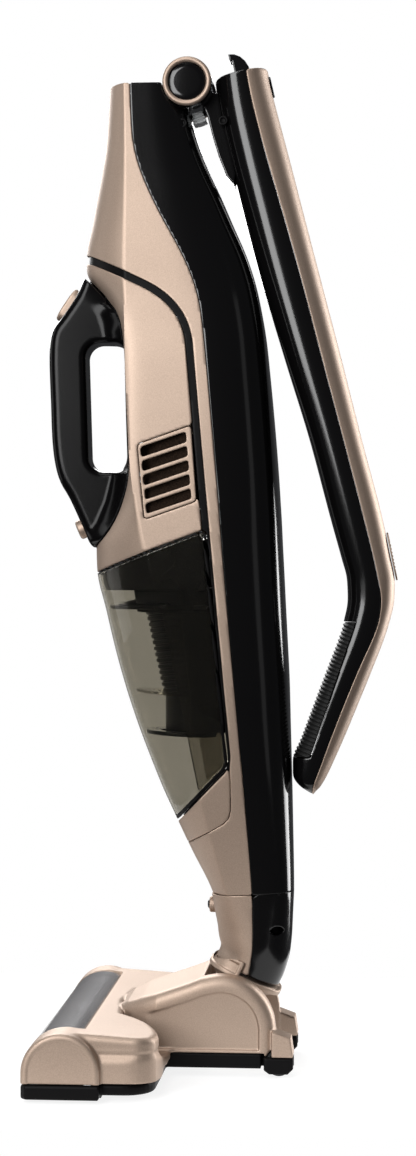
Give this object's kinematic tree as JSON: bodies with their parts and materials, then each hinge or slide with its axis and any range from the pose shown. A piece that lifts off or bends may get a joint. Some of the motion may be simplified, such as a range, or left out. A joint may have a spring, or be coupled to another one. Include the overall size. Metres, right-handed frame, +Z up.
{
  "type": "cordless stick vacuum cleaner",
  "caption": "Upright cordless vacuum with removable hand unit, see-through dust cup, fold-down handle and wide floor head on a tilting, swivelling neck.",
  "frame": {"origin": "on the floor under the middle of the bounding box, vacuum parked upright with its handle folded down", "axes": "+Z up, the vacuum faces -Y (floor brush and hand vacuum at -Y, handle folded at +Y), +X is its left side"},
  "size_m": [0.25, 0.2309, 0.6651],
  "materials": {
    "champagne_gold": "satin metallic champagne-gold paint on moulded plastic",
    "gloss_black": "gloss black moulded plastic",
    "satin_black": "satin black moulded plastic",
    "smoked_clear": "transparent smoke-tinted plastic",
    "grey_clear": "translucent grey plastic",
    "steel": "plain machined steel",
    "soft_black": "soft black ribbed grip and seal rubber",
    "brown_foam": "dark brown open foam",
    "bristle": "dark nylon bristle",
    "felt": "dark felt",
    "cell_pack": "shrink-wrapped cells",
    "circuit_board": "green circuit board"
  },
  "bodies": {
    "floor_head": {"head_cover": "champagne_gold", "brush_window": "grey_clear", "head_base": "satin_black", "brush_end_left": "satin_black", "brush_end_right": "satin_black", "brush_motor": "steel", "drive_belt": "soft_black", "wheel_pin_left": "steel", "wheel_pin_right": "steel", "felt_strip": "felt", "tilt_pin": "steel"},
    "brush_roll": {"brush_core": "satin_black", "bristle_strip_a": "bristle", "bristle_strip_b": "bristle"},
    "motor_pulley": {"motor_pulley": "steel"},
    "rear_wheel_left": {"rear_wheel_left": "soft_black"},
    "rear_wheel_right": {"rear_wheel_right": "soft_black"},
    "tilt_yoke": {"tilt_yoke": "champagne_gold"},
    "neck": {"neck_front_cover": "champagne_gold", "neck_rear_cover": "gloss_black", "neck_spigot": "satin_black"},
    "neck_button": {"neck_button": "champagne_gold"},
    "stick": {"stick_rear_shell": "gloss_black", "stick_front_shell": "champagne_gold", "dock_cover": "champagne_gold", "suction_duct": "satin_black", "dock_liner": "satin_black", "stick_top_plate": "satin_black", "hinge_ear_left": "gloss_black", "hinge_ear_right": "gloss_black", "hinge_ring_left": "champagne_gold", "hinge_ring_right": "champagne_gold", "hinge_pin": "steel", "wire_sleeve": "grey_clear"},
    "hand_vac": {"hand_shell_left": "champagne_gold", "hand_shell_right": "champagne_gold", "d_grip": "gloss_black", "louvre_panel_left": "champagne_gold", "louvre_panel_right": "champagne_gold", "exhaust_foam_left": "brown_foam", "exhaust_foam_right": "brown_foam", "fan_motor": "steel", "battery_pack": "cell_pack", "control_board": "circuit_board"},
    "impeller": {"impeller": "satin_black"},
    "power_button": {"power_button": "champagne_gold"},
    "cup_release_button": {"cup_release_button": "champagne_gold"},
    "dust_cup": {"dust_cup": "smoked_clear", "cup_seal": "soft_black", "filter_housing": "satin_black", "filter_cone": "satin_black", "inlet_duct": "satin_black"},
    "handle": {"handle_spine": "champagne_gold", "handle_cover": "gloss_black", "grip_insert": "soft_black", "handle_knuckle": "satin_black", "handle_end_plate": "satin_black"},
    "latch_hook": {"latch_hook": "satin_black"},
    "fold_release_button": {"fold_release_button": "gloss_black"},
    "slide_switch": {"slide_switch": "champagne_gold"}
  },
  "joints": [
    {"name": "brush_spin", "type": "hinge", "parent": "floor_head", "child": "brush_roll", "pos_m": [0, -0.0905, 0.0186], "axis": [1, 0, 0], "continuous": true},
    {"name": "motor_pulley_spin", "type": "hinge", "parent": "floor_head", "child": "motor_pulley", "pos_m": [0, -0.05, 0.024], "axis": [1, 0, 0], "continuous": true},
    {"name": "rear_wheel_left_spin", "type": "hinge", "parent": "floor_head", "child": "rear_wheel_left", "pos_m": [0.036, 0.039, 0.0085], "axis": [1, 0, 0], "continuous": true},
    {"name": "rear_wheel_right_spin", "type": "hinge", "parent": "floor_head", "child": "rear_wheel_right", "pos_m": [-0.036, 0.039, 0.0085], "axis": [1, 0, 0], "continuous": true},
    {"name": "neck_tilt", "type": "hinge", "parent": "floor_head", "child": "tilt_yoke", "pos_m": [0, 0.002, 0.027], "axis": [-1, 0, 0], "range_deg": [0, 65]},
    {"name": "neck_swivel", "type": "hinge", "parent": "tilt_yoke", "child": "neck", "pos_m": [0, 0.016, 0.06], "axis": [0, 0.4226, 0.9063], "range_deg": [-45, 45]},
    {"name": "neck_button_press", "type": "slide", "parent": "neck", "child": "neck_button", "axis": [0, 1, 0], "range_m": [0, 0.002], "stiffness_N_per_m": 400, "springref_m": -0.001},
    {"name": "stick_liftoff", "type": "slide", "parent": "neck", "child": "stick", "axis": [0, -0.0867, 0.9962], "range_m": [0, 0.04]},
    {"name": "hand_vac_undock", "type": "hinge", "parent": "stick", "child": "hand_vac", "pos_m": [0, -0.03, 0.16], "axis": [1, 0, 0], "range_deg": [0, 18]},
    {"name": "impeller_spin", "type": "hinge", "parent": "hand_vac", "child": "impeller", "pos_m": [0, -0.037, 0.362], "axis": [0, 0, 1], "continuous": true},
    {"name": "power_button_press", "type": "slide", "parent": "hand_vac", "child": "power_button", "axis": [0, 0.8299, -0.5579], "range_m": [0, 0.0015], "stiffness_N_per_m": 400, "springref_m": -0.001},
    {"name": "cup_button_press", "type": "slide", "parent": "hand_vac", "child": "cup_release_button", "axis": [0, 0.9199, 0.392], "range_m": [0, 0.0015], "stiffness_N_per_m": 400, "springref_m": -0.001},
    {"name": "dust_cup_release", "type": "slide", "parent": "hand_vac", "child": "dust_cup", "axis": [0, -0.8, -0.6], "range_m": [0, 0.03]},
    {"name": "handle_fold", "type": "hinge", "parent": "stick", "child": "handle", "pos_m": [0, -0.0214, 0.643], "axis": [1, 0, 0], "range_deg": [0, 167.5]},
    {"name": "fold_button_press", "type": "slide", "parent": "handle", "child": "fold_release_button", "axis": [0, -0.9741, -0.226], "range_m": [0, 0.0015], "stiffness_N_per_m": 400, "springref_m": -0.001},
    {"name": "latch_hook_slide", "type": "slide", "parent": "handle", "child": "latch_hook", "axis": [0, -0.9781, -0.2079], "range_m": [0, 0.0015]},
    {"name": "slide_switch_slide", "type": "slide", "parent": "handle", "child": "slide_switch", "axis": [0, -0.235, 0.972], "range_m": [0, 0.006]}
  ],
  "couplings": [
    {"joint": "motor_pulley_spin", "follows": "brush_spin", "ratio": 2},
    {"joint": "latch_hook_slide", "follows": "fold_button_press", "ratio": 1}
  ]
}
